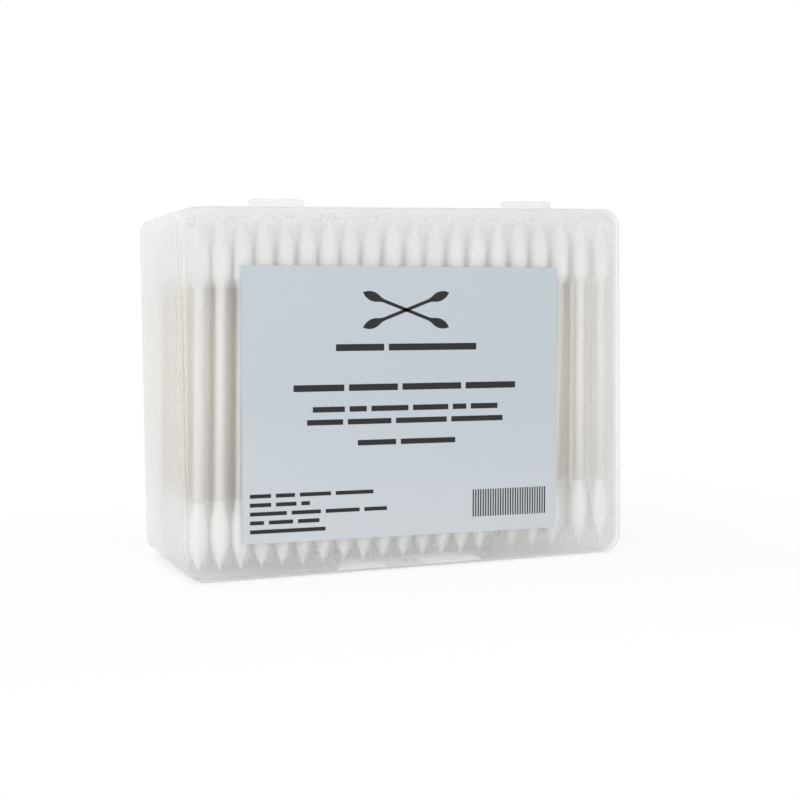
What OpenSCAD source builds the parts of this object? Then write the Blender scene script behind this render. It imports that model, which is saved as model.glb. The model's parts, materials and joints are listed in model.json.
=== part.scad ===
/* [Box] */
// Width of the box across the lid
box_w = 105; // [104:0.5:112]
// Height of the box as it stands, along the swabs
box_h = 80.5; // [80:0.5:84]
// Depth of the tray, from its floor to the parting line
tray_d = 40.8; // [40.6:0.1:44]
// Depth of the lid, from the parting line to its front face
lid_d = 4.1; // [4:0.1:5]
// Thickness of the tray's walls and floor
wall = 1; // [0.9:0.05:1.1]
// Thickness of the lid's front plate
lid_plate = 1; // [0.9:0.05:1.1]
// Radius of the four upright corners
corner_r = 4.4; // [4.2:0.1:6]
// Moulding draft of the tray's walls, in degrees
draft = 1.8; // [1.75:0.05:2]
// Outer radius along the edge of the tray's floor
floor_edge_r = 2; // [1.5:0.1:2.2]
// Outer radius along the edge of the lid's front plate
lid_edge_r = 0.8; // [0.6:0.1:0.9]

/* [Rim] */
// Length of the tray's inner lip, which enters the lid
lip_len = 1.6; // [1.2:0.1:1.8]
// Thickness of the inner lip
lip_t = 0.5; // [0.4:0.05:0.5]
// Gap between the lid and the tray all round
rim_gap = 0.05; // [0.04:0.01:0.08]

/* [Hinges] */
// Width of each folded hinge strap
hinge_w = 12.4; // [10:0.2:16]
// Distance between the middles of the two straps
hinge_span = 60; // [40:1:70]
// How far the folded straps stand out of the box
hinge_rise = 1.55; // [1.2:0.05:2]
// Thickness of each leaf of a strap
leaf_t = 0.7; // [0.5:0.05:0.8]
// Radius of the straps' corners
strap_r = 0.5; // [0.2:0.05:0.8]

/* [Latch] */
// Width of the finger recess in the tray's lower wall
recess_w = 35.6; // [34:0.2:36]
// Depth of the finger recess
recess_deep = 1.1; // [0.9:0.05:1.1]
// Width of the latch tongue
tongue_w = 8.7; // [6:0.1:12]
// How far the tongue reaches behind the parting line
tongue_len = 5; // [4:0.1:7]
// Height of the two ribs that steady the tray's lower wall
rib_h = 5.2; // [4:0.1:5.4]
// Thickness of the two ribs
rib_t = 0.6; // [0.5:0.05:0.7]

/* [Swabs] */
// Length of a swab from point to point
swab_len = 76; // [74:0.1:76]
// Diameter of the cotton buds
bud_d = 4.6; // [4.2:0.05:4.62]
// Length of a cotton bud
bud_len = 15; // [14:0.5:17]
// Length of the bud's pointed end
point_len = 7.5; // [6.5:0.1:7.8]
// Length of the slow slope from a lower bud to the stick
lower_shoulder = 6; // [3:0.1:6]
// Length of the blunt slope from an upper bud to the stick
upper_shoulder = 2.6; // [2:0.1:5]
// Diameter of the rolled paper stick
stick_d = 2.4; // [2:0.05:2.6]
// How far the stick's end stays inside the bud's point
stick_inset = 4.5; // [4.5:0.1:5.5]
// Distance from one layer of swabs to the next
layer_pitch = 4.19; // [4.15:0.01:4.19]
// Distance between the swabs that stand close together
close_pitch = 4.72; // [4.63:0.01:4.74]

/* [Label] */
// Width of the label
label_w = 75; // [40:1:90]
// Height of the label
label_h = 60; // [30:1:66]
// Thickness of the label
label_t = 0.1; // [0.08:0.01:0.2]
// Turn of the label on the lid, clockwise, in degrees
label_turn = 0.8; // [0:0.1:1.5]

/* [Hidden] */
$fn = 64;
arc_steps = 5;
layer_count = 10;
// Swabs of the layer against the lid that stand close together from the left
close_count = 15;
// Feet of the loose swabs at the right, from the middle of the box
loose_x = [25, 30.4, 35.3, 42.5, 48.2];
// Heads of the swabs: place of the first, its distance to the second, and how that distance grows
head_first = -47.5;
head_pitch = 4.734;
head_growth = 0.0176;
// Height above the foot at which the heads are measured
head_at = 67;
// Places of the latch's recess and of its tongue, from the middle of the box
latch_x = 0.6;
tongue_x = -0.4;
// Middle of the label, from the middle of the box and from its lower edge
label_x = -2.2;
label_y = 37.4;
touch = 0.05;
overlap = 0.5;
total_d = tray_d + lid_d + label_t;
lid_lean = 0.1;
floor_inner_r = 1;
latch_gap = 0.05;
tongue_t = 0.6;
hook_rise = 0.25;
hook_len = 0.8;
bead_len = 0.8;
rib_reach = 1.6;
rib_step = 2.4;
// Places of the two gussets behind the latch tongue, from the middle of the box
gusset_x = [-1.4, 0.5];
gusset_t = 0.3;
gusset_h = 0.95;
pad_w = recess_w + 2 * wall;
plastic = [0.93, 0.94, 0.94, 0.45];

// Points of an arc about c, from angle a to angle b
function arc(c, r, a, b, steps = arc_steps) =
    [for (i = [0 : steps]) let (t = a + (b - a) * i / steps) c + r * [cos(t), sin(t)]];

// Stands the box on its lower edge, lid to the front. Modules below draw it lying on its floor:
// x across, y up the swabs, z from the tray's floor to the lid
module stand() {
    translate([0, total_d / 2, 0]) rotate([90, 0, 0]) children();
}

// Sweeps a wall section round the box. The section's x is the distance in from the outer face
// at the parting line, up to the centre of the corners
module sweep_round() {
    side_x = box_w - 2 * corner_r;
    side_y = box_h - 2 * corner_r;
    for (c = [[1, 1, 0], [-1, 1, 90], [-1, -1, 180], [1, -1, 270]])
        translate([c[0] * side_x / 2, box_h / 2 + c[1] * side_y / 2, 0])
            rotate([0, 0, c[2]])
                rotate_extrude(angle = 90) translate([corner_r, 0]) mirror([1, 0]) children();
    for (s = [[0, side_x, box_h / 2], [90, side_y, box_w / 2], [180, side_x, box_h / 2], [270, side_y, box_w / 2]])
        translate([0, box_h / 2, 0]) rotate([0, 0, s[0]])
            translate([-s[1] / 2, -s[2], 0]) rotate([90, 0, 90])
                linear_extrude(s[1]) children();
}

// Section of the tray's wall: drafted wall, rounded floor edge and the inner lip
module tray_section() {
    outer_c = [(floor_edge_r + (tray_d - floor_edge_r) * sin(draft)) / cos(draft), floor_edge_r];
    inner_z = wall + floor_inner_r;
    inner_c = [(wall + floor_inner_r + (tray_d - inner_z) * sin(draft)) / cos(draft), inner_z];
    polygon(concat(
        [[corner_r, 0]],
        arc(outer_c, floor_edge_r, 270, 180 + draft),
        [[0, tray_d], [wall - lip_t, tray_d], [wall - lip_t, tray_d + lip_len], [wall, tray_d + lip_len], [wall, tray_d]],
        arc(inner_c, floor_inner_r, 180 + draft, 270),
        [[corner_r, wall]]));
}

// Section of the lid's wall: a thin skirt over the tray's lip and a rounded front edge
module lid_section() {
    front = tray_d + lid_d;
    skirt_t = wall - lip_t - 2 * touch;
    skirt_top = tray_d + lip_len + 2 * touch;
    edge_c = [lid_lean + lid_edge_r, front - lid_edge_r];
    polygon(concat(
        [[0, tray_d + rim_gap]],
        arc(edge_c, lid_edge_r, 180, 90),
        [[corner_r, front], [corner_r, front - lid_plate], [wall, front - lid_plate],
            [wall, skirt_top], [skirt_t, skirt_top], [skirt_t, tray_d + rim_gap]]));
}

// A block across the latch, drawn by its outline in y and z
module across(width, middle = latch_x) {
    translate([middle - width / 2, 0, 0]) rotate([90, 0, 90]) linear_extrude(width) children();
}

// The two leaves of a body's hinges, round-cornered, from z to z + leaf_t
module hinge_leaves(z) {
    half = hinge_w / 2;
    top = box_h + hinge_rise;
    for (side = [-1, 1])
        translate([side * hinge_span / 2, 0, z]) linear_extrude(leaf_t)
            polygon(concat([[-half, box_h - overlap], [half, box_h - overlap]],
                arc([half - strap_r, top - strap_r], strap_r, 0, 90),
                arc([strap_r - half, top - strap_r], strap_r, 90, 180)));
}

// Tray: drafted walls, an inner lip, a finger recess whose flat floor fades out in the draft,
// and the bead that the latch tongue snaps behind
module tray() {
    fade = tray_d - recess_deep / tan(draft);
    color(plastic) {
        difference() {
            union() {
                sweep_round() tray_section();
                translate([-box_w / 2 + corner_r, corner_r, 0])
                    cube([box_w - 2 * corner_r, box_h - 2 * corner_r, wall]);
                across(pad_w) polygon([[recess_deep + wall, tray_d], [recess_deep + wall, fade - 0.3],
                    [recess_deep + wall / 2, fade - 1], [recess_deep, fade + 1], [recess_deep, tray_d]]);
            }
            across(recess_w) polygon([[-1, fade - 2], [recess_deep, fade - 2], [recess_deep, tray_d + 1], [-1, tray_d + 1]]);
            across(pad_w) translate([-1, tray_d]) square([recess_deep + wall, lip_len + 1]);
        }
        hinge_leaves(tray_d - leaf_t);
        bead_y = tongue_t + hook_rise + latch_gap;
        across(tongue_w, tongue_x) translate([bead_y, tray_d - tongue_len + hook_len + 0.4])
            square([recess_deep + overlap - bead_y, bead_len]);
    }
}

// Latch tongue: a flexible strip behind the lid's lower wall, hooked at its end
module tongue() {
    across(tongue_w, tongue_x) polygon([[0, tray_d + lid_d - 1.5], [0, tray_d - tongue_len], [tongue_t + hook_rise, tray_d - tongue_len],
        [tongue_t + hook_rise, tray_d - tongue_len + hook_len], [tongue_t, tray_d - tongue_len + hook_len + 0.4],
        [tongue_t, tray_d + lid_d - 1.5]]);
}

// Steadying rib: it reaches over the edge of the tray's lower wall
module rib() {
    back = tray_d + lid_d - lid_plate / 2;
    rotate([90, 0, 90]) linear_extrude(rib_t, center = true)
        polygon([[wall / 2, back], [wall / 2, tray_d + 2 * touch], [rib_step, tray_d + 2 * touch],
            [rib_step, tray_d - rib_reach], [rib_h - 0.6, tray_d - rib_reach], [rib_h, tray_d - rib_reach + 0.6], [rib_h, back]]);
}

// Gusset that stiffens the lid's lower wall where the tongue springs from it
module gusset() {
    back = tray_d + lid_d - lid_plate / 2;
    rotate([90, 0, 90]) linear_extrude(gusset_t, center = true)
        polygon([[wall / 2, back], [wall / 2, tray_d + 0.4], [wall + 0.15, tray_d + 0.4],
            [wall + gusset_h, back - 1.4], [wall + gusset_h, back]]);
}

// Lid: a shallow tray of its own with a skirt, the latch tongue, two gussets and two steadying ribs
module lid() {
    front = tray_d + lid_d;
    color(plastic) {
        sweep_round() lid_section();
        translate([-box_w / 2 + corner_r, corner_r, front - lid_plate])
            cube([box_w - 2 * corner_r, box_h - 2 * corner_r, lid_plate]);
        across(recess_w) translate([lid_lean, tray_d + rim_gap]) square([wall - lid_lean, lid_d - lid_plate]);
        hinge_leaves(tray_d + rim_gap);
        tongue();
        for (x = gusset_x) translate([x, 0, 0]) gusset();
        for (side = [-1, 1]) translate([latch_x + side * (recess_w / 2 + rib_t), 0, 0]) rib();
    }
}

// Label: a thin paper rectangle on the lid's front face, stuck on a little askew
module label() {
    color([0.78, 0.82, 0.86])
        translate([label_x, label_y, tray_d + lid_d]) rotate([0, 0, -label_turn])
            translate([-label_w / 2, -label_h / 2, 0]) cube([label_w, label_h, label_t]);
}

// How far a layer lies behind the lid's front face, and how far the draft draws the walls in there
function layer_depth(layer) = lid_plate + 2 * touch + bud_d / 2 + (layer - 1) * layer_pitch;
function draw_in(layer) = max(0, layer_depth(layer) - lid_d) * tan(draft);

// Places across the box of swab i's foot and head in a layer
function foot(i, layer) = i < close_count
    ? -box_w / 2 + wall + bud_d / 2 + touch + draw_in(layer) + i * close_pitch
    : loose_x[i - close_count] - draw_in(layer);
function head(i, layer) = (head_first + head_pitch * i + head_growth * i * i) * (1 - draw_in(layer) / (box_w / 2));

// Feet and heads of a layer's swabs. Odd layers stand as the front one does,
// and even layers lie in the hollows between them
function swab_places(layer) = let (all = [for (i = [0 : close_count + len(loose_x) - 1]) [foot(i, layer), head(i, layer)]])
    layer % 2 == 1 ? all : [for (i = [0 : len(all) - 2]) (all[i] + all[i + 1]) / 2];

// Height at which a swab stands: clear of the finger recess, the draft and the rounded corners
function seat(x, layer) = let (r = corner_r - wall - draw_in(layer), dx = max(0, abs(x) - box_w / 2 + corner_r))
    max(corner_r - sqrt(r * r - dx * dx), recess_deep + wall) + touch;

module each_swab(layer) {
    for (place = swab_places(layer))
        translate([place[0], seat(place[0], layer), tray_d + lid_d - layer_depth(layer)])
            rotate([0, 0, -atan((place[1] - place[0]) / head_at)]) rotate([-90, 0, 0]) children();
}

// Radius of a bud at a distance from its point: a sine point, a straight body and an eased shoulder
function bud_r(s, shoulder) = s < point_len ? bud_d / 2 * sin(90 * s / point_len)
    : s < bud_len - shoulder ? bud_d / 2
    : let (end = stick_d / 2 + 0.15) end + (bud_d / 2 - end) * (1 + cos(180 * (s - bud_len + shoulder) / shoulder)) / 2;

// Cotton bud wound on the end of the stick, its point at the origin
module bud(shoulder) {
    bore = stick_d / 2 + 0.01;
    point = [for (i = [1 : 6]) point_len * i / 6];
    slope = [for (i = [0 : 4]) bud_len - shoulder + shoulder * i / 4];
    rotate_extrude()
        polygon(concat([[0, 0], [0.22, 0.15], [0.4, 0.75]],
            [for (s = concat(point, slope)) [bud_r(s, shoulder), s]],
            [[bore, bud_len], [bore, stick_inset], [0, stick_inset]]));
}

// Rolled paper stick with its ends a little crushed
module stick() {
    color([0.95, 0.94, 0.91]) translate([0, 0, stick_inset]) {
        h = swab_len - 2 * stick_inset;
        edge = 0.15;
        rotate_extrude() polygon([[0, 0], [stick_d / 2 - edge, 0], [stick_d / 2, edge],
            [stick_d / 2, h - edge], [stick_d / 2 - edge, h], [0, h]]);
    }
}

module sticks(layer) {
    each_swab(layer) stick();
}

module lower_buds(layer) {
    color([0.97, 0.97, 0.96]) each_swab(layer) bud(lower_shoulder);
}

module upper_buds(layer) {
    color([0.97, 0.97, 0.96]) each_swab(layer) translate([0, 0, swab_len]) rotate([180, 0, 0]) bud(upper_shoulder);
}

stand() tray();
stand() lid();
stand() label();
for (layer = [1 : layer_count]) {
    stand() sticks(layer);
    stand() lower_buds(layer);
    stand() upper_buds(layer);
}
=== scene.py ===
"""Dresses a hinged box of cotton swabs: milky plastic, wound cotton, paper sticks and a plain label."""

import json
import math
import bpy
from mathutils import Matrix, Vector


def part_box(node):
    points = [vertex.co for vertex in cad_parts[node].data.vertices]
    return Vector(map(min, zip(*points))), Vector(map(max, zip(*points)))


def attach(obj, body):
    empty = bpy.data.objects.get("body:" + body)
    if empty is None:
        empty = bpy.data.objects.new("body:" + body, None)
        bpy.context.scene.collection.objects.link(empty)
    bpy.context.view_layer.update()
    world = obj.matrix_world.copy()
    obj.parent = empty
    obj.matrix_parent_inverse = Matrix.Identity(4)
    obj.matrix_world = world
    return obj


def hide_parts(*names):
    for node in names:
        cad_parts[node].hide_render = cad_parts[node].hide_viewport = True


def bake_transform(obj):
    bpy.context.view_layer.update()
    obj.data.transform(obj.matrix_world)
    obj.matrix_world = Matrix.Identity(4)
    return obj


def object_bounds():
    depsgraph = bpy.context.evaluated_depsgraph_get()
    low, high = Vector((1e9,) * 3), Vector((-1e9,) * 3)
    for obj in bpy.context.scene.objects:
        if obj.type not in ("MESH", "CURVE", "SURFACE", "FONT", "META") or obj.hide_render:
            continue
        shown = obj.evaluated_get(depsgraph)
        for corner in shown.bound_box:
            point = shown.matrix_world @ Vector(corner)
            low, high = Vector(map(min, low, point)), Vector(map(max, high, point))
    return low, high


bl_info = {
    "name": "Swab Box",
    "version": (1, 0, 0),
    "blender": (4, 5, 0),
    "location": "3D View > Sidebar > Swab Box",
    "description": "Finishes a hinged plastic box of cotton swabs and sets it on a white stage",
    "category": "Object",
}

import bmesh
import bpy
import numpy as np
from mathutils import Matrix, Vector

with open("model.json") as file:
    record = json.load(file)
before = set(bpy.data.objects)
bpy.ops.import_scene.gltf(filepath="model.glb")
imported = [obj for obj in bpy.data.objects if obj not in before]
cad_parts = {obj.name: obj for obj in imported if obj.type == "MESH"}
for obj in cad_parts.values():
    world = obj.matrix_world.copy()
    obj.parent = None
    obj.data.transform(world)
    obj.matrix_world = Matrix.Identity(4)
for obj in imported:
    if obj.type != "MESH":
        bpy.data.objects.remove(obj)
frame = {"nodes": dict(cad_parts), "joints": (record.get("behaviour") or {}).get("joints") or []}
cad_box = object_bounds()
nodes = frame["nodes"]
MM = 0.001
LAYERS = [n[-2:] for n in sorted(nodes) if n.startswith("sticks_")]

# Sticks: their width, how far each bud reaches past them, and the depth where the front row ends and the
# painted shade on the paper behind it begins
STICK_WIDTH = 2.4 * MM
STICK_INSET = 4.5 * MM
FRONT_ROW_ENDS = -17.5 * MM, -16.5 * MM

# Plastic: thickness of the lid's plate, width of the haze along its rim, and what the haze adds in roughness
PLATE = 1 * MM
RIM_BAND = 8 * MM
RIM_FROST = 0.25

# How much the milk hides of what is behind the tray, the lid, the lid's hazy rim and its skirt (along the
# left rim, the extra milk is painted light)
TRAY_MILK = 0.5
LID_MILK = 0.45
RIM_MILK = 0.9
SKIRT_MILK = 0.24

# Label: its turn in degrees, and the step that keeps two faces from lying in one plane
LABEL_TURN = 0.8
HAIR = 0.02 * MM

# Word bars in the label's middle: height on the label, width, words and thickness, in millimetres
MIDDLE_LINES = (
    (12.2, 33.5, 2, 1.5),
    (3.4, 53.0, 4, 1.45),
    (-1.3, 44.2, 6, 1.2),
    (-4.1, 46.8, 4, 1.2),
    (-8.8, 23.4, 2, 1.2),
)
# Word bars at the label's lower left: width and words
CORNER_LINES = ((28.4, 4), (13.6, 3), (31.6, 4), (15.8, 3), (17.2, 1))


# Settings

class PlasticSettings(bpy.types.PropertyGroup):
    """Milky polypropylene of the tray and the lid"""

    tint: bpy.props.FloatVectorProperty(
        name="Tint", description="Colour of the plastic", subtype="COLOR", size=3, min=0, max=1,
        default=(0.972, 0.972, 0.968),
    )
    lid_clearness: bpy.props.FloatProperty(
        name="Lid clearness", description="Share of the light that goes through the lid's surface",
        subtype="FACTOR", min=0, max=1, default=0.72,
    )
    tray_clearness: bpy.props.FloatProperty(
        name="Tray clearness", description="Share of the light that goes through the tray's surface",
        subtype="FACTOR", min=0, max=1, default=0.5,
    )
    lid_frost: bpy.props.FloatProperty(
        name="Lid frost", description="Roughness of the lid's surface",
        subtype="FACTOR", min=0, max=1, default=0.1,
    )
    tray_frost: bpy.props.FloatProperty(
        name="Tray frost", description="Roughness of the tray's surface",
        subtype="FACTOR", min=0, max=1, default=0.42,
    )


class CottonSettings(bpy.types.PropertyGroup):
    """Cotton buds wound on the swabs' ends"""

    colour: bpy.props.FloatVectorProperty(
        name="Cotton", description="Colour of the cotton", subtype="COLOR", size=3, min=0, max=1,
        default=(0.93, 0.925, 0.91),
    )
    lumps: bpy.props.FloatProperty(
        name="Lumps", description="Unevenness of the wound cotton",
        unit="LENGTH", min=0, max=0.0004, default=0.00012,
    )
    long_shoulder: bpy.props.FloatProperty(
        name="Lower shoulder", description="Length of the slow taper of the lower buds",
        unit="LENGTH", min=0.001, max=0.008, default=0.006,
    )
    short_shoulder: bpy.props.FloatProperty(
        name="Upper shoulder", description="Length of the blunt shoulder of the upper buds",
        unit="LENGTH", min=0.001, max=0.008, default=0.0026,
    )
    sides: bpy.props.IntProperty(
        name="Sides", description="Faces round a front bud", min=8, max=24, default=18,
    )
    rings: bpy.props.IntProperty(
        name="Rings", description="Faces along a front bud", min=5, max=24, default=18,
    )
    seed: bpy.props.IntProperty(
        name="Seed", description="Seed of the buds' small differences", default=7,
    )


class StickSettings(bpy.types.PropertyGroup):
    """Rolled paper sticks"""

    colour: bpy.props.FloatVectorProperty(
        name="Paper", description="Colour of the rolled paper", subtype="COLOR", size=3, min=0, max=1,
        default=(0.9, 0.885, 0.855),
    )
    # Painted shade: the colour given to the paper behind the front row
    painted_shade_colour: bpy.props.FloatVectorProperty(
        name="Paper in painted shade", description="Colour painted on the paper behind the front row as its shade",
        subtype="COLOR", size=3, min=0, max=1, default=(0.87, 0.8, 0.69),
    )


class LabelSettings(bpy.types.PropertyGroup):
    """Label on the lid and its print"""

    paper: bpy.props.FloatVectorProperty(
        name="Label", description="Colour of the label", subtype="COLOR", size=3, min=0, max=1,
        default=(0.517, 0.568, 0.613),
    )
    ink: bpy.props.FloatVectorProperty(
        name="Ink", description="Colour of the print", subtype="COLOR", size=3, min=0, max=1,
        default=(0.016, 0.017, 0.02),
    )


class StageSettings(bpy.types.PropertyGroup):
    """Lamps and camera"""

    sky: bpy.props.FloatProperty(
        name="Sky", description="Strength of the even light", min=0, max=2, default=1.01,
    )
    key: bpy.props.FloatProperty(
        name="Key", description="Power of the key lamp", subtype="POWER", min=0, max=50, default=3.4,
    )
    fill: bpy.props.FloatProperty(
        name="Fill", description="Power of the low lamp", subtype="POWER", min=0, max=50, default=0.5,
    )


# Materials

def named_group(name, inputs, outputs):
    """A new shader node group with its sockets, and its input and output nodes."""
    group = bpy.data.node_groups.new(name, "ShaderNodeTree")
    for label, kind, value in inputs:
        socket = group.interface.new_socket(name=label, in_out="INPUT", socket_type=kind)
        socket.default_value = value
    for label, kind in outputs:
        group.interface.new_socket(name=label, in_out="OUTPUT", socket_type=kind)
    return group, group.nodes.new("NodeGroupInput"), group.nodes.new("NodeGroupOutput")


def new_node(tree, kind, **values):
    """A node with its properties and its sockets' values set by name."""
    node = tree.nodes.new(kind)
    for key, value in values.items():
        if hasattr(node, key):
            setattr(node, key, value)
        else:
            node.inputs[key.replace("_", " ").title()].default_value = value
    return node


def moulded_skin():
    """Slow waves and fine scuffs that a moulding has, as a height and a mask."""
    group, given, out = named_group(
        "Moulded Skin",
        [("Vector", "NodeSocketVector", (0, 0, 0)), ("Wave Scale", "NodeSocketFloat", 60.0),
         ("Scuff Scale", "NodeSocketFloat", 900.0)],
        [("Height", "NodeSocketFloat"), ("Scuffs", "NodeSocketFloat")],
    )
    link = group.links.new
    wave = new_node(group, "ShaderNodeTexNoise", detail=1.0)
    link(given.outputs["Vector"], wave.inputs["Vector"])
    link(given.outputs["Wave Scale"], wave.inputs["Scale"])
    scuff = new_node(group, "ShaderNodeTexNoise", detail=4.0, roughness=0.7)
    link(given.outputs["Vector"], scuff.inputs["Vector"])
    link(given.outputs["Scuff Scale"], scuff.inputs["Scale"])
    faintest, deepest = 0.45, 0.75
    link(wave.outputs["Fac"], out.inputs["Height"])
    link(spread(group, scuff.outputs["Fac"], 0, 1, faintest, deepest), out.inputs["Scuffs"])
    return group


def hazy_rim_and_painted_light():
    """Two masks of the lid: how near a point is to its upper and left rim, and if it is behind the plate. The
    milky band along the left rim, and not the right, is painted light from the left.
    """
    group, given, out = named_group(
        "Hazy Rim And Painted Light",
        [("Vector", "NodeSocketVector", (0, 0, 0)), ("Middle", "NodeSocketFloat", 0.0),
         ("Half Width", "NodeSocketFloat", 0.05), ("Half Height", "NodeSocketFloat", 0.04),
         ("Band", "NodeSocketFloat", 0.008), ("Back", "NodeSocketFloat", 0.0)],
        [("Mask", "NodeSocketFloat"), ("Behind", "NodeSocketFloat")],
    )
    calc, size = sums(group), given.outputs
    split = group.nodes.new("ShaderNodeSeparateXYZ")
    group.links.new(size["Vector"], split.inputs["Vector"])
    place = split.outputs
    # Only the left rim counts here, not the right: the milkier left band is painted light from the left
    aside = calc("SUBTRACT", calc("MULTIPLY", place["X"], -1), size["Half Width"])
    above = calc("SUBTRACT", calc("SUBTRACT", place["Z"], size["Middle"]), size["Half Height"])
    upper_reach, back_steepness = 0.5, 2 / MM
    closest = calc("MAXIMUM", aside, calc("MULTIPLY", above, upper_reach))
    near = calc("ADD", calc("DIVIDE", closest, size["Band"]), 1, clamp=True)
    height = calc("DIVIDE", place["Z"], calc("MULTIPLY", size["Middle"], 2), clamp=True)
    behind = calc("MULTIPLY", calc("SUBTRACT", place["Y"], size["Back"]), back_steepness, clamp=True)
    plate = calc("MULTIPLY", near, calc("MULTIPLY", height, calc("SUBTRACT", 1, behind)))
    group.links.new(plate, out.inputs["Mask"])
    group.links.new(behind, out.inputs["Behind"])
    return group


def fibre_grain():
    """Short crossing fibres, for cotton and paper, as a height and a mask."""
    group, given, out = named_group(
        "Fibre Grain",
        [("Vector", "NodeSocketVector", (0, 0, 0)), ("Fineness", "NodeSocketFloat", 2500.0),
         ("Stretch", "NodeSocketFloat", 0.2)],
        [("Height", "NodeSocketFloat"), ("Mask", "NodeSocketFloat")],
    )
    link = group.links.new
    squeeze = new_node(group, "ShaderNodeCombineXYZ", x=1.0, y=1.0)
    link(given.outputs["Stretch"], squeeze.inputs["Z"])
    scaled = new_node(group, "ShaderNodeVectorMath", operation="MULTIPLY")
    link(given.outputs["Vector"], scaled.inputs[0])
    link(squeeze.outputs["Vector"], scaled.inputs[1])
    noise = new_node(group, "ShaderNodeTexNoise", detail=3.0, roughness=0.65, distortion=0.6)
    link(scaled.outputs["Vector"], noise.inputs["Vector"])
    link(given.outputs["Fineness"], noise.inputs["Scale"])
    link(noise.outputs["Fac"], out.inputs["Height"])
    link(noise.outputs["Fac"], out.inputs["Mask"])
    return group


def new_material(name):
    """A node material, its tree and its Principled shader."""
    material = bpy.data.materials.new(name)
    material.use_nodes = True
    tree = material.node_tree
    return material, tree, tree.nodes["Principled BSDF"]


def with_group(tree, group, **values):
    """The group placed in a material, fed with object coordinates."""
    node = tree.nodes.new("ShaderNodeGroup")
    node.node_tree = group
    coords = tree.nodes.new("ShaderNodeTexCoord")
    tree.links.new(coords.outputs["Object"], node.inputs["Vector"])
    for key, value in values.items():
        node.inputs[key.replace("_", " ")].default_value = value
    return node


def relief(tree, height, shader, strength, distance):
    """A bump from a height into a shader's normal."""
    bump = new_node(tree, "ShaderNodeBump", strength=strength, distance=distance)
    tree.links.new(height, bump.inputs["Height"])
    tree.links.new(bump.outputs["Normal"], shader.inputs["Normal"])


def spread(tree, mask, low, high, start=0, stop=1):
    """A value that runs from low to high while the mask runs from start to stop."""
    node = new_node(tree, "ShaderNodeMapRange", from_min=start, from_max=stop, to_min=low, to_max=high)
    tree.links.new(mask, node.inputs["Value"])
    return node.outputs["Result"]


def place_of(tree, coordinates="Object"):
    """X, Y and Z of the shaded point."""
    split = tree.nodes.new("ShaderNodeSeparateXYZ")
    tree.links.new(tree.nodes.new("ShaderNodeTexCoord").outputs[coordinates], split.inputs["Vector"])
    return split.outputs


def two_tone(tree, mask, dark, light):
    """A colour that follows a mask from dark to light."""
    mix = new_node(tree, "ShaderNodeMix", data_type="RGBA")
    mix.inputs["A"].default_value = (*dark, 1)
    mix.inputs["B"].default_value = (*light, 1)
    tree.links.new(mask, mix.inputs["Factor"])
    return mix.outputs["Result"]


def dappled(tree, tone, mask, low):
    """A colour darkened by a mask, down to a share of itself."""
    mix = new_node(tree, "ShaderNodeMix", data_type="RGBA", blend_type="MULTIPLY", factor=1.0)
    tree.links.new(tone, mix.inputs["A"])
    tree.links.new(two_tone(tree, mask, (low, low, low), (1, 1, 1)), mix.inputs["B"])
    return mix.outputs["Result"]


def seen_ray(tree):
    """1 for rays that come straight from the camera, through the plastic or off its gloss."""
    calc = sums(tree)
    rays = tree.nodes.new("ShaderNodeLightPath").outputs
    through = calc("MAXIMUM", rays["Is Camera Ray"], rays["Is Transmission Ray"])
    return calc("MAXIMUM", through, rays["Is Glossy Ray"])


def calm_floor(tree, seen):
    """How plainly white the floor is for a seen ray: least under the box and fully farther away."""
    calc, place = sums(tree), place_of(tree)
    under, beside = 0.6, 0.88
    half_width, half_depth, _ = cad_box[1]
    outside = calc("MAXIMUM", calc("SUBTRACT", calc("ABSOLUTE", place["X"]), half_width),
                   calc("SUBTRACT", calc("ABSOLUTE", place["Y"]), half_depth))
    edge = spread(tree, outside, under, beside, -3 * MM, 1 * MM)
    rest = spread(tree, outside, 0, 1 - beside, 20 * MM, 110 * MM)
    return calc("MULTIPLY", seen, calc("ADD", edge, rest))


def shade(colour, factor):
    """A colour made lighter or darker, up to white."""
    return tuple(min(1.0, c * factor) for c in colour)


def milky_plastic(name, tint, clearness, frost, milk, skin, hazy_rim_with_light=None):
    """Translucent polypropylene: part of the light goes through, the rest is scattered in its milk."""
    material, tree, shader = new_material(name)
    shader.inputs["Transmission Weight"].default_value = clearness
    shader.inputs["Alpha"].default_value = milk
    shader.inputs["IOR"].default_value = 1.49
    node = with_group(tree, skin, Wave_Scale=45.0, Scuff_Scale=700.0)
    rough = spread(tree, node.outputs["Scuffs"], frost * 0.9, frost * 1.25)
    if hazy_rim_with_light:
        low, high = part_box("tray")
        middle, half = (low.z + high.z) / 2, (high.z - low.z) / 2
        rim = with_group(tree, hazy_rim_with_light, Middle=middle, Half_Width=high.x, Half_Height=half,
                         Band=RIM_BAND, Back=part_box("lid")[0].y + PLATE).outputs
        calc = sums(tree)
        # Milkier near the rim; along the left rim this is painted light
        plate = spread(tree, rim["Mask"], milk, RIM_MILK)
        thinner = spread(tree, rim["Behind"], 0, milk - SKIRT_MILK)
        tree.links.new(calc("SUBTRACT", plate, thinner), shader.inputs["Alpha"])
        rough = calc("ADD", rough, spread(tree, rim["Mask"], 0, RIM_FROST))
    tree.links.new(rough, shader.inputs["Roughness"])
    tone = two_tone(tree, node.outputs["Height"], shade(tint, 0.985), shade(tint, 1.01))
    tree.links.new(tone, shader.inputs["Base Color"])
    relief(tree, node.outputs["Height"], shader, strength=0.012, distance=0.4 * MM)
    return material


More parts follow.
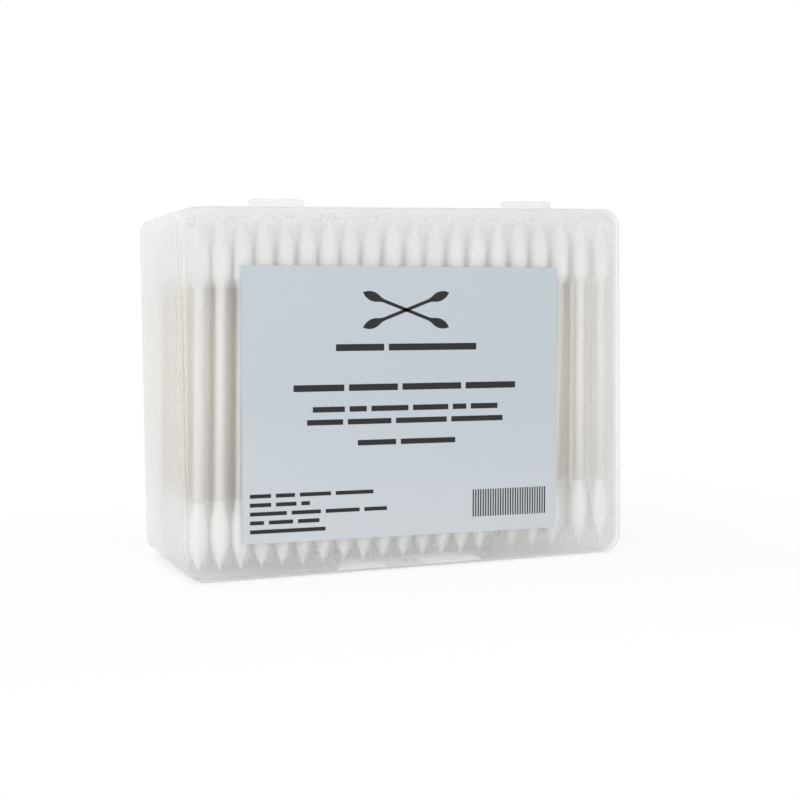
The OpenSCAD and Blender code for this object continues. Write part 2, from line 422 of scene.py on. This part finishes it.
def cotton_material(colour, grain):
    """Wound cotton, matt and a little fluffy."""
    material, tree, shader = new_material("wound cotton")
    node = with_group(tree, grain, Fineness=2200.0, Stretch=0.35)
    tone = two_tone(tree, node.outputs["Mask"], shade(colour, 0.95), shade(colour, 1.03))
    tree.links.new(tone, shader.inputs["Base Color"])
    shader.inputs["Roughness"].default_value = 0.95
    shader.inputs["Specular IOR Level"].default_value = 0.2
    shader.inputs["Sheen Weight"].default_value = 0.25
    relief(tree, node.outputs["Height"], shader, strength=0.5, distance=0.3 * MM)
    return material


def paper_material(colour, painted_shade_colour, grain):
    """Rolled paper, with painted shade: warmer and darker behind the front row."""
    material, tree, shader = new_material("rolled paper")
    node = with_group(tree, grain, Fineness=1500.0, Stretch=0.12)
    # Painted shade: the sticks behind the front row get a darker, warmer paper colour
    behind = spread(tree, place_of(tree)["Y"], 0, 1, *FRONT_ROW_ENDS)
    tone = two_tone(tree, behind, colour, painted_shade_colour)
    tree.links.new(dappled(tree, tone, node.outputs["Mask"], low=0.96), shader.inputs["Base Color"])
    shader.inputs["Roughness"].default_value = 0.7
    shader.inputs["Specular IOR Level"].default_value = 0.3
    relief(tree, node.outputs["Height"], shader, strength=0.2, distance=0.1 * MM)
    return material


def label_material(colour, grain):
    """Silk label stock, with painted light: a little lighter towards its lower edge, as if lit from below."""
    material, tree, shader = new_material("label stock")
    node = with_group(tree, grain, Fineness=1400.0, Stretch=1.0)
    low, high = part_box("label")
    # Painted light: the lower half of the label is made lighter, as light from below would make it
    painted_light_fade = spread(tree, place_of(tree)["Z"], 0, 1, low.z, low.z + 0.5 * (high.z - low.z))
    foot = tuple(c * f for c, f in zip(colour, (1.12, 1.08, 1.05)))
    tone = two_tone(tree, painted_light_fade, foot, shade(colour, 0.99))
    tree.links.new(dappled(tree, tone, node.outputs["Mask"], low=0.98), shader.inputs["Base Color"])
    tree.links.new(spread(tree, node.outputs["Mask"], 0.38, 0.5), shader.inputs["Roughness"])
    relief(tree, node.outputs["Height"], shader, strength=0.1, distance=0.05 * MM)
    return material


def ink_material(colour, grain):
    """Dark print, dappled a little by the paper under it."""
    material, tree, shader = new_material("label ink")
    node = with_group(tree, grain, Fineness=2600.0, Stretch=1.0)
    tone = two_tone(tree, node.outputs["Mask"], shade(colour, 0.8), shade(colour, 1.6))
    tree.links.new(tone, shader.inputs["Base Color"])
    shader.inputs["Roughness"].default_value = 0.5
    shader.inputs["Specular IOR Level"].default_value = 0.25
    return material


# Geometry trees

def geometry_tree(name, inputs):
    """A geometry tree with a Geometry input and output and named sizes."""
    tree = bpy.data.node_groups.new(name, "GeometryNodeTree")
    tree.interface.new_socket(name="Geometry", in_out="INPUT", socket_type="NodeSocketGeometry")
    for label, kind, value in inputs:
        socket = tree.interface.new_socket(name=label, in_out="INPUT", socket_type=kind)
        if value is not None:
            socket.default_value = value
    tree.interface.new_socket(name="Geometry", in_out="OUTPUT", socket_type="NodeSocketGeometry")
    return tree, tree.nodes.new("NodeGroupInput"), tree.nodes.new("NodeGroupOutput")


def sums(tree):
    """A helper that adds a Math node and returns its value."""
    def calc(operation, *terms, clamp=False):
        node = tree.nodes.new("ShaderNodeMath")
        node.operation = operation
        node.use_clamp = clamp
        for slot, term in zip(node.inputs, terms):
            if isinstance(term, (int, float)):
                slot.default_value = term
            else:
                tree.links.new(term, slot)
        return node.outputs["Value"]
    return calc


def set_inputs(modifier, values):
    """Sets a geometry modifier's inputs by their names, through the sockets' identifiers."""
    for item in modifier.node_group.interface.items_tree:
        if item.in_out == "INPUT" and item.name in values:
            modifier[item.identifier] = values[item.name]


def grown(name, points, tree, values, body=None, **marks):
    """Runs a geometry tree on points, each with its marks, and keeps the result as a plain mesh."""
    cloud = bpy.data.meshes.new(name + " points")
    cloud.from_pydata(points, [], [])
    for key, numbers in marks.items():
        cloud.attributes.new(key, "FLOAT", "POINT").data.foreach_set("value", numbers)
    maker = bpy.data.objects.new(name + "_points", cloud)
    bpy.context.scene.collection.objects.link(maker)
    modifier = maker.modifiers.new("Make", "NODES")
    modifier.node_group = tree
    set_inputs(modifier, values)
    bpy.context.view_layer.update()
    mesh = bpy.data.meshes.new_from_object(maker.evaluated_get(bpy.context.evaluated_depsgraph_get()))
    mesh.name = name
    maker.modifiers.remove(modifier)
    bpy.data.objects.remove(maker)
    piece = bpy.data.objects.new(name, mesh)
    bpy.context.scene.collection.objects.link(piece)
    if body:
        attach(piece, body)
    return piece


def marked(tree, name):
    """The number that each point carries under a name."""
    node = tree.nodes.new("GeometryNodeInputNamedAttribute")
    node.inputs["Name"].default_value = name
    return node.outputs["Attribute"]


def stood_on(tree, points, shape, turn, scale=None):
    """The shape at each point, as geometry of its own."""
    place = tree.nodes.new("GeometryNodeInstanceOnPoints")
    tree.links.new(points, place.inputs["Points"])
    tree.links.new(shape, place.inputs["Instance"])
    tree.links.new(turn, place.inputs["Rotation"])
    if scale:
        tree.links.new(scale, place.inputs["Scale"])
    real = tree.nodes.new("GeometryNodeRealizeInstances")
    tree.links.new(place.outputs["Instances"], real.inputs["Geometry"])
    return real.outputs["Geometry"]


def smoothed(tree, shape, faces=None):
    """The shape with its faces, or those picked, shaded smooth."""
    smooth = tree.nodes.new("GeometryNodeSetShadeSmooth")
    tree.links.new(shape, smooth.inputs["Geometry"])
    if faces:
        tree.links.new(faces, smooth.inputs["Selection"])
    return smooth.outputs["Geometry"]


def finished(tree, shape, material, out):
    """The tree, once the shape has its material and leads to the output."""
    paint = tree.nodes.new("GeometryNodeSetMaterial")
    tree.links.new(shape, paint.inputs["Geometry"])
    tree.links.new(material, paint.inputs["Material"])
    tree.links.new(paint.outputs["Geometry"], out.inputs["Geometry"])
    return tree


def bud_tree():
    """Buds of wound cotton on points, with a sine point, a straight body and an eased shoulder."""
    sharpest, collar, thinnest, lump_middle, lump_scale = 0.12 * MM, 0.12 * MM, 0.93, 0.62, 420.0
    tree, given, out = geometry_tree("Wound Buds", [
        ("Diameter", "NodeSocketFloat", 0.0046), ("Length", "NodeSocketFloat", 0.015),
        ("Point", "NodeSocketFloat", 0.0075), ("Shoulder", "NodeSocketFloat", 0.0035),
        ("Stick", "NodeSocketFloat", 0.0024), ("Sides", "NodeSocketInt", 12), ("Rings", "NodeSocketInt", 8),
        ("Lumps", "NodeSocketFloat", 0.0001), ("Turn", "NodeSocketFloat", 0.0), ("Seed", "NodeSocketInt", 1),
        ("Cotton", "NodeSocketMaterial", None),
    ])
    link, add, calc = tree.links.new, tree.nodes.new, sums(tree)
    size = given.outputs
    end = add("ShaderNodeCombineXYZ")
    link(size["Length"], end.inputs["Z"])
    line = add("GeometryNodeCurvePrimitiveLine")
    link(end.outputs["Vector"], line.inputs["End"])
    cut = add("GeometryNodeResampleCurve")
    link(line.outputs["Curve"], cut.inputs["Curve"])
    link(calc("ADD", size["Rings"], 1), cut.inputs["Count"])
    along = calc("MULTIPLY", add("GeometryNodeSplineParameter").outputs["Factor"], size["Length"])
    body = calc("MULTIPLY", size["Diameter"], 0.5)
    tip = calc("SINE", calc("MULTIPLY", calc("DIVIDE", along, size["Point"], clamp=True), math.pi / 2))
    tip = calc("MAXIMUM", calc("MULTIPLY", tip, body), sharpest)
    foot = calc("ADD", calc("MULTIPLY", size["Stick"], 0.5), collar)
    past = calc("SUBTRACT", along, calc("SUBTRACT", size["Length"], size["Shoulder"]))
    ease = calc("MULTIPLY", calc("DIVIDE", past, size["Shoulder"], clamp=True), math.pi)
    ease = calc("MULTIPLY", calc("ADD", calc("COSINE", ease), 1), 0.5)
    neck = calc("ADD", foot, calc("MULTIPLY", calc("SUBTRACT", body, foot), ease))
    ring = new_node(tree, "GeometryNodeCurvePrimitiveCircle", radius=1.0)
    link(size["Sides"], ring.inputs["Resolution"])
    sweep = new_node(tree, "GeometryNodeCurveToMesh", fill_caps=True)
    link(cut.outputs["Curve"], sweep.inputs["Curve"])
    link(ring.outputs["Curve"], sweep.inputs["Profile Curve"])
    link(calc("MINIMUM", tip, neck), sweep.inputs["Scale"])
    turn = add("ShaderNodeCombineXYZ")
    link(size["Turn"], turn.inputs["X"])
    link(marked(tree, "lean"), turn.inputs["Y"])
    girth = add("FunctionNodeRandomValue")
    girth.inputs[2].default_value = thinnest
    girth.inputs[3].default_value = 1.0
    link(calc("ADD", size["Seed"], 3), girth.inputs["Seed"])
    fat = new_node(tree, "ShaderNodeCombineXYZ", z=1.0)
    for axis in "XY":
        link(girth.outputs[1], fat.inputs[axis])
    buds = stood_on(
        tree, size["Geometry"], sweep.outputs["Mesh"], turn.outputs["Vector"], fat.outputs["Vector"])
    noise = new_node(tree, "ShaderNodeTexNoise", scale=lump_scale)
    link(add("GeometryNodeInputPosition").outputs["Position"], noise.inputs["Vector"])
    push = new_node(tree, "ShaderNodeVectorMath", operation="SCALE")
    link(add("GeometryNodeInputNormal").outputs["Normal"], push.inputs[0])
    rise = calc("MULTIPLY", calc("SUBTRACT", noise.outputs["Fac"], lump_middle), size["Lumps"])
    link(rise, push.inputs["Scale"])
    lump = add("GeometryNodeSetPosition")
    link(buds, lump.inputs["Geometry"])
    link(push.outputs["Vector"], lump.inputs["Offset"])
    return finished(tree, smoothed(tree, lump.outputs["Geometry"]), size["Cotton"], out)


def stick_tree():
    """Paper sticks that stand on points, each with its lean."""
    tree, given, out = geometry_tree("Paper Sticks", [
        ("Diameter", "NodeSocketFloat", 0.0024), ("Length", "NodeSocketFloat", 0.066),
        ("Sides", "NodeSocketInt", 12), ("Paper", "NodeSocketMaterial", None),
    ])
    link, add, calc = tree.links.new, tree.nodes.new, sums(tree)
    size = given.outputs
    rod = add("GeometryNodeMeshCylinder")
    link(size["Sides"], rod.inputs["Vertices"])
    link(calc("MULTIPLY", size["Diameter"], 0.5), rod.inputs["Radius"])
    link(size["Length"], rod.inputs["Depth"])
    up = add("ShaderNodeCombineXYZ")
    link(calc("MULTIPLY", size["Length"], 0.5), up.inputs["Z"])
    lift = add("GeometryNodeTransform")
    link(rod.outputs["Mesh"], lift.inputs["Geometry"])
    link(up.outputs["Vector"], lift.inputs["Translation"])
    turn = add("ShaderNodeCombineXYZ")
    link(marked(tree, "lean"), turn.inputs["Y"])
    sticks = stood_on(tree, size["Geometry"], lift.outputs["Geometry"], turn.outputs["Vector"])
    return finished(tree, smoothed(tree, sticks, rod.outputs["Side"]), size["Paper"], out)


def bar_tree():
    """Flat printed bars on points, each as wide as its point says."""
    tree, given, out = geometry_tree("Printed Bars", [
        ("Height", "NodeSocketFloat", 0.001), ("Lean", "NodeSocketFloat", 0.0),
        ("Ink", "NodeSocketMaterial", None),
    ])
    link, size = tree.links.new, given.outputs
    bar = new_node(tree, "GeometryNodeMeshGrid", size_x=1.0, size_y=1.0, vertices_x=2, vertices_y=2)
    reach = new_node(tree, "ShaderNodeCombineXYZ", z=1.0)
    link(marked(tree, "width"), reach.inputs["X"])
    link(size["Height"], reach.inputs["Y"])
    turn = new_node(tree, "ShaderNodeCombineXYZ", x=math.pi / 2)
    link(size["Lean"], turn.inputs["Y"])
    bars = stood_on(
        tree, size["Geometry"], bar.outputs["Mesh"], turn.outputs["Vector"], reach.outputs["Vector"])
    return finished(tree, bars, size["Ink"], out)


def made(name, mesh, material):
    """A bmesh as an object, with its faces turned outwards."""
    bmesh.ops.recalc_face_normals(mesh, faces=mesh.faces[:])
    data = bpy.data.meshes.new(name)
    mesh.to_mesh(data)
    mesh.free()
    data.materials.append(material)
    piece = bpy.data.objects.new(name, data)
    bpy.context.scene.collection.objects.link(piece)
    return piece


def label_frame():
    """Finds points a hair in front of the label, given right and up from its middle in millimetres."""
    low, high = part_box("label")
    middle = (low + high) / 2
    turn = math.radians(LABEL_TURN)

    def at(u, v):
        return (middle.x + (u * math.cos(turn) + v * math.sin(turn)) * MM, low.y - HAIR,
                middle.z + (v * math.cos(turn) - u * math.sin(turn)) * MM)
    return at


def label_sheet(name, material):
    """The label as a flat sheet. Its back lies a hair inside the lid, so the two faces never coincide."""
    low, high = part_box("label")
    turn = math.radians(LABEL_TURN)
    across, along, share = high.x - low.x, high.z - low.z, math.cos(2 * turn) * 2 * MM
    wide = (across * math.cos(turn) - along * math.sin(turn)) / share
    tall = (along * math.cos(turn) - across * math.sin(turn)) / share
    at = label_frame()
    corners = [at(u * wide, v * tall) for u, v in ((-1, -1), (1, -1), (1, 1), (-1, 1))]
    mesh = bmesh.new()
    front = [mesh.verts.new((x, low.y, z)) for x, _, z in corners]
    back = [mesh.verts.new((x, high.y + HAIR, z)) for x, _, z in corners]
    mesh.faces.new(front)
    mesh.faces.new(back)
    for k in range(len(corners)):
        mesh.faces.new((front[k - 1], front[k], back[k], back[k - 1]))
    return made(name, mesh, material)


def word_widths(span, words, rng):
    """Middles and widths of words that fill a line, with even gaps."""
    widest_gap, short, long = 1.1, 0.6, 1.7
    gap = min(widest_gap, 0.3 * span / words)
    shares = rng.uniform(short, long, words)
    shares *= (span - gap * (words - 1)) / shares.sum()
    starts = np.concatenate(([0], np.cumsum(shares + gap)[:-1]))
    return [(start + wide / 2, wide) for start, wide in zip(starts, shares)]


def swab_sign(name, at, middle, length, tilt, material):
    """A flat pictogram of one swab: a thin stick between two pointed buds."""
    mesh = bmesh.new()
    cos, sin = math.cos(tilt), math.sin(tilt)
    half, bud, thick, stick = length / 2, length * 0.24, length * 0.048, length * 0.017
    steps, fullness = 6, 0.8
    side = []
    for k in range(1, steps):
        bulge = math.sin(math.pi * min(1, k / steps + 0.02)) ** fullness
        side.append((-half + bud * k / steps, thick * bulge))
    other = [(-x, y) for x, y in reversed(side)]
    upper = side + [(-half + bud, stick), (half - bud, stick)] + other
    outline = [(-half, 0)] + upper + [(half, 0)] + [(x, -y) for x, y in reversed(upper)]
    turned = [(middle[0] + x * cos - y * sin, middle[1] + x * sin + y * cos) for x, y in outline]
    mesh.faces.new([mesh.verts.new(at(u, v)) for u, v in turned])
    bmesh.ops.triangulate(mesh, faces=mesh.faces[:])
    return made(name, mesh, material)


def joined(name, pieces):
    """Several mesh objects as one."""
    first = pieces[0]
    with bpy.context.temp_override(active_object=first, object=first, selected_objects=pieces,
                                   selected_editable_objects=pieces):
        bpy.ops.object.join()
    first.name = name
    return first


def middles(points):
    """Middles of the clusters of points that stand apart from left to right."""
    points = points[np.argsort(points[:, 0])]
    breaks = np.flatnonzero(np.diff(points[:, 0]) > MM) + 1
    return [Vector((part.min(0) + part.max(0)) / 2) for part in np.split(points, breaks)]


def swab_axes(layer):
    """Foot, head, way and lean of each stick in a layer, read from the solid sticks."""
    co = np.empty(len(nodes["sticks_" + layer].data.vertices) * 3)
    nodes["sticks_" + layer].data.vertices.foreach_get("co", co)
    co = co.reshape(-1, 3)
    height = co[:, 2]
    feet = middles(co[height < height.min() + MM])
    heads = middles(co[height > height.max() - MM])
    ways = [(head - foot).normalized() for foot, head in zip(feet, heads)]
    return [(foot, head, way, math.atan2(way.x, way.z)) for foot, head, way in zip(feet, heads, ways)]


def use_material(node, material):
    """Gives a solid its material in every slot."""
    slots = nodes[node].material_slots
    if not slots:
        nodes[node].data.materials.append(material)
    for slot in slots:
        slot.material = material


# Stage

def white_floor(scene):
    """A wide floor just under the box, plainly white where the box casts no shadow."""
    reach, drop = 3, 0.2 * MM
    mesh = bpy.data.meshes.new("floor")
    corners = [(-reach, -reach, 0), (reach, -reach, 0), (reach, reach, 0), (-reach, reach, 0)]
    mesh.from_pydata(corners, [], [(0, 1, 2, 3)])
    floor = bpy.data.objects.new("floor", mesh)
    scene.collection.objects.link(floor)
    floor.location.z = -drop
    paint, tree, shader = new_material("white floor")
    shader.inputs["Base Color"].default_value = (0.9, 0.9, 0.9, 1)
    shader.inputs["Roughness"].default_value = 0.8
    glow = tree.nodes.new("ShaderNodeEmission")
    mix = tree.nodes.new("ShaderNodeMixShader")
    tree.links.new(calm_floor(tree, seen_ray(tree)), mix.inputs["Fac"])
    tree.links.new(shader.outputs["BSDF"], mix.inputs[1])
    tree.links.new(glow.outputs["Emission"], mix.inputs[2])
    tree.links.new(mix.outputs["Shader"], tree.nodes["Material Output"].inputs["Surface"])
    mesh.materials.append(paint)


def white_room(scene, strength):
    """Even light from all round, strongest from the left, that is plain white where it is seen."""
    bright_side, dim_side = strength * 1.24, strength * 0.22
    world = bpy.data.worlds.new("white room")
    scene.world = world
    world.use_nodes = True
    tree = world.node_tree
    sky = tree.nodes["Background"]
    sky.inputs["Color"].default_value = (1, 1, 1, 1)
    room = spread(tree, place_of(tree, "Generated")["X"], bright_side, dim_side, -1, 1)
    level = tree.nodes.new("ShaderNodeMapRange")
    tree.links.new(room, level.inputs["To Min"])
    tree.links.new(seen_ray(tree), level.inputs["Value"])
    tree.links.new(level.outputs["Result"], sky.inputs["Strength"])


def lamp(scene, name, power, size, place):
    """A square lamp that shines on the box's middle."""
    light = bpy.data.lights.new(name, "AREA")
    light.energy = power
    light.size = size
    holder = bpy.data.objects.new(name, light)
    scene.collection.objects.link(holder)
    holder.location = place
    aim = Vector((0, 0, 0.04))
    holder.rotation_euler = (aim - Vector(place)).to_track_quat("-Z", "Y").to_euler()


def camera(scene):
    """The camera, with a lens, a place and a turn that were fitted to the box's outline."""
    focal_pixels, picture_pixels = 1652, 800
    yaw, pitch, roll = (math.radians(degrees) for degrees in (21.45, 3.961, 0.657))
    stand = Vector((-137.13, -363.11, 63.18)) * MM
    lens = bpy.data.cameras.new("camera")
    lens.lens = focal_pixels / picture_pixels * lens.sensor_width
    eye = bpy.data.objects.new("camera", lens)
    scene.collection.objects.link(eye)
    ahead = Vector((math.sin(yaw) * math.cos(pitch), math.cos(yaw) * math.cos(pitch), -math.sin(pitch)))
    right = Vector((math.cos(yaw), -math.sin(yaw), 0))
    up = right.cross(ahead)
    rolled_right = right * math.cos(roll) - up * math.sin(roll)
    rolled_up = right * math.sin(roll) + up * math.cos(roll)
    turn = Matrix((rolled_right, rolled_up, -ahead)).transposed().to_4x4()
    eye.matrix_world = Matrix.Translation(stand) @ turn
    scene.camera = eye


# Operators

class SWABBOX_OT_mould_box(bpy.types.Operator):
    """Give the tray and the lid their milky plastic"""

    bl_idname = "swabbox.mould_box"
    bl_label = "Mould Box"

    def execute(self, context):
        look = context.scene.swabbox_plastic
        skin = moulded_skin()
        use_material("tray", milky_plastic(
            "tray plastic", look.tint, look.tray_clearness, look.tray_frost, TRAY_MILK, skin))
        use_material("lid", milky_plastic(
            "lid plastic", look.tint, look.lid_clearness, look.lid_frost, LID_MILK, skin, hazy_rim_and_painted_light()))
        return {"FINISHED"}


class SWABBOX_OT_roll_sticks(bpy.types.Operator):
    """Stand a paper stick in each swab's place"""

    bl_idname = "swabbox.roll_sticks"
    bl_label = "Roll Sticks"

    def execute(self, context):
        look = context.scene.swabbox_stick
        axes = [a for layer in LAYERS for a in swab_axes(layer)]
        piece = grown("paper_sticks", [foot for foot, _, _, _ in axes], stick_tree(), {
            "Length": (axes[0][1] - axes[0][0]).length, "Diameter": STICK_WIDTH,
            "Paper": paper_material(look.colour, look.painted_shade_colour, fibre_grain()),
        }, "tray_body", lean=[lean for _, _, _, lean in axes])
        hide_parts(*["sticks_" + layer for layer in LAYERS])
        return {"FINISHED"}


class SWABBOX_OT_wind_buds(bpy.types.Operator):
    """Wind the cotton buds on both ends of the sticks"""

    bl_idname = "swabbox.wind_buds"
    bl_label = "Wind Buds"

    def execute(self, context):
        look = context.scene.swabbox_cotton
        tree = bud_tree()
        cotton = cotton_material(look.colour, fibre_grain())
        sizes = {"Lumps": look.lumps, "Cotton": cotton}
        near = {**sizes, "Sides": look.sides, "Rings": look.rings}
        far = {**sizes, "Sides": 8, "Rings": 7}
        kinds = (("lower", look.seed, look.long_shoulder), ("upper", look.seed + 11, look.short_shoulder))
        for kind, seed, shoulder in kinds:
            halves = []
            for layers, detail in ((LAYERS[:2], near), (LAYERS[2:], far)):
                axes = [a for layer in layers for a in swab_axes(layer)]
                if kind == "lower":
                    tips, turn = [foot - way * STICK_INSET for foot, _, way, _ in axes], 0.0
                else:
                    tips, turn = [head + way * STICK_INSET for _, head, way, _ in axes], math.pi
                values = {**detail, "Seed": seed, "Turn": turn, "Shoulder": shoulder}
                leans = [lean for _, _, _, lean in axes]
                halves.append(grown(kind + " buds", tips, tree, values, lean=leans))
            piece = joined(kind + "_cotton_buds", halves)
            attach(piece, "tray_body")
            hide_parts(*["%s_buds_%s" % (kind, layer) for layer in LAYERS])
        return {"FINISHED"}


class SWABBOX_OT_stick_label(bpy.types.Operator):
    """Give the label its silk paper"""

    bl_idname = "swabbox.stick_label"
    bl_label = "Stick Label"

    def execute(self, context):
        stock = label_material(context.scene.swabbox_label.paper, fibre_grain())
        paper = label_sheet("label_sheet", stock)
        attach(paper, "lid_body")
        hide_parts("label")
        return {"FINISHED"}


class SWABBOX_OT_print_label(bpy.types.Operator):
    """Print a crossed-swab pictogram, plain word bars and a field of even strips on the label"""

    bl_idname = "swabbox.print_label"
    bl_label = "Print Label"

    def execute(self, context):
        ink = ink_material(context.scene.swabbox_label.ink, fibre_grain())
        tree = bar_tree()
        at = label_frame()
        rng = np.random.default_rng(12)

        def bars(name, row, height, tall):
            """Bars in one row, each given by its middle and width."""
            return grown(name, [at(middle, height) for middle, _ in row], tree, {
                "Height": tall * MM, "Lean": math.radians(LABEL_TURN), "Ink": ink,
            }, width=[wide * MM for _, wide in row])

        centre, corner, corner_top, corner_step, corner_tall = 0.6, -35.8, -19.7, 1.93, 0.85
        lines = [(centre - wide / 2, height, wide, words, tall) for height, wide, words, tall in MIDDLE_LINES]
        for k, (wide, words) in enumerate(CORNER_LINES):
            lines.append((corner, corner_top - corner_step * k, wide, words, corner_tall))
        crossing, sign_length, sign_tilt = (0.4, 20.4), 22.0, 0.36
        pieces = [swab_sign("sign", at, crossing, sign_length, tilt, ink) for tilt in (sign_tilt, -sign_tilt)]
        for left, height, span, words, tall in lines:
            row = [(left + middle, wide) for middle, wide in word_widths(span, words, rng)]
            pieces.append(bars("words", row, height, tall))
        strips_left, strips_height, strips_tall, strips_apart, strip_wide = 16.8, -23.4, 6.2, 0.62, 0.31
        strips = [(strips_left + strips_apart * k, strip_wide) for k in range(30)]
        pieces.append(bars("strips", strips, strips_height, strips_tall))
        whole = joined("label_print", pieces)
        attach(whole, "lid_body")
        return {"FINISHED"}


class SWABBOX_OT_fold_hinges(bpy.types.Operator):
    """Lay the thin film that joins the tray's and the lid's leaves over each fold"""

    bl_idname = "swabbox.fold_hinges"
    bl_label = "Fold Hinges"

    def execute(self, context):
        axis = next(j for j in frame["joints"] if j["name"] == "lid_hinge")["pos_m"]
        film = nodes["lid"].data.materials[0]
        outer, inner, half_width, strap = 0.17 * MM, 0.05 * MM, 5.7, 30
        arc = [math.pi * k / 8 for k in range(9)]
        ring = [(outer, angle) for angle in arc] + [(inner, angle) for angle in reversed(arc)]
        section = [(axis[1] + r * math.cos(angle), axis[2] + r * math.sin(angle)) for r, angle in ring]
        for side, middle in (("left", -strap), ("right", strap)):
            mesh = bmesh.new()
            places = np.linspace(middle - half_width, middle + half_width, 13) * MM
            rows = [[mesh.verts.new((x, y, z)) for y, z in section] for x in places]
            for near, far in zip(rows, rows[1:]):
                for k in range(len(near)):
                    mesh.faces.new((near[k - 1], near[k], far[k], far[k - 1]))
            mesh.faces.new(rows[0])
            mesh.faces.new(rows[-1][::-1])
            piece = made("hinge_film_" + side, mesh, film)
            tray_end, lid_end = (0, axis[1] + outer, axis[2]), (0, axis[1] - outer, axis[2])
            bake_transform(piece)
            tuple(tray_end)
            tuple(lid_end)
        return {"FINISHED"}


class SWABBOX_OT_set_stage(bpy.types.Operator):
    """Set the white floor, the lamps and the camera"""

    bl_idname = "swabbox.set_stage"
    bl_label = "Set Stage"

    def execute(self, context):
        scene = context.scene
        look = scene.swabbox_stage
        white_floor(scene)
        white_room(scene, look.sky)
        lamp(scene, "key lamp", look.key, 1.1, (-0.43, -0.52, 0.74))
        lamp(scene, "low lamp", look.fill, 0.1, (-0.1, -0.65, 0.07))
        camera(scene)
        scene.view_settings.view_transform = "Standard"
        scene.cycles.max_bounces = 24
        scene.cycles.transmission_bounces = 24
        scene.cycles.diffuse_bounces = 10
        return {"FINISHED"}


class SWABBOX_PT_sidebar(bpy.types.Panel):
    """Lists the steps that dress the box"""

    bl_label = "Swab Box"
    bl_idname = "SWABBOX_PT_sidebar"
    bl_space_type = "VIEW_3D"
    bl_region_type = "UI"
    bl_category = "Swab Box"

    def draw(self, context):
        for step in STEPS:
            self.layout.operator(step.bl_idname)


STEPS = (
    SWABBOX_OT_mould_box, SWABBOX_OT_roll_sticks, SWABBOX_OT_wind_buds, SWABBOX_OT_stick_label,
    SWABBOX_OT_print_label, SWABBOX_OT_fold_hinges, SWABBOX_OT_set_stage,
)
SETTINGS = {
    "swabbox_plastic": PlasticSettings, "swabbox_cotton": CottonSettings, "swabbox_stick": StickSettings,
    "swabbox_label": LabelSettings, "swabbox_stage": StageSettings,
}


def register():
    """Registers the settings, the steps and the panel."""
    for kind in (*SETTINGS.values(), *STEPS, SWABBOX_PT_sidebar):
        bpy.utils.register_class(kind)
    for name, kind in SETTINGS.items():
        setattr(bpy.types.Scene, name, bpy.props.PointerProperty(type=kind))


def unregister():
    """Takes back what register added."""
    for name in SETTINGS:
        delattr(bpy.types.Scene, name)
    for kind in reversed((*SETTINGS.values(), *STEPS, SWABBOX_PT_sidebar)):
        bpy.utils.unregister_class(kind)


def main():
    """Dresses the box."""
    register()
    bpy.ops.swabbox.set_stage()
    bpy.ops.swabbox.mould_box()
    bpy.ops.swabbox.roll_sticks()
    bpy.ops.swabbox.wind_buds()
    bpy.ops.swabbox.stick_label()
    bpy.ops.swabbox.print_label()
    bpy.ops.swabbox.fold_hinges()


if __name__ == "__main__":
    main()
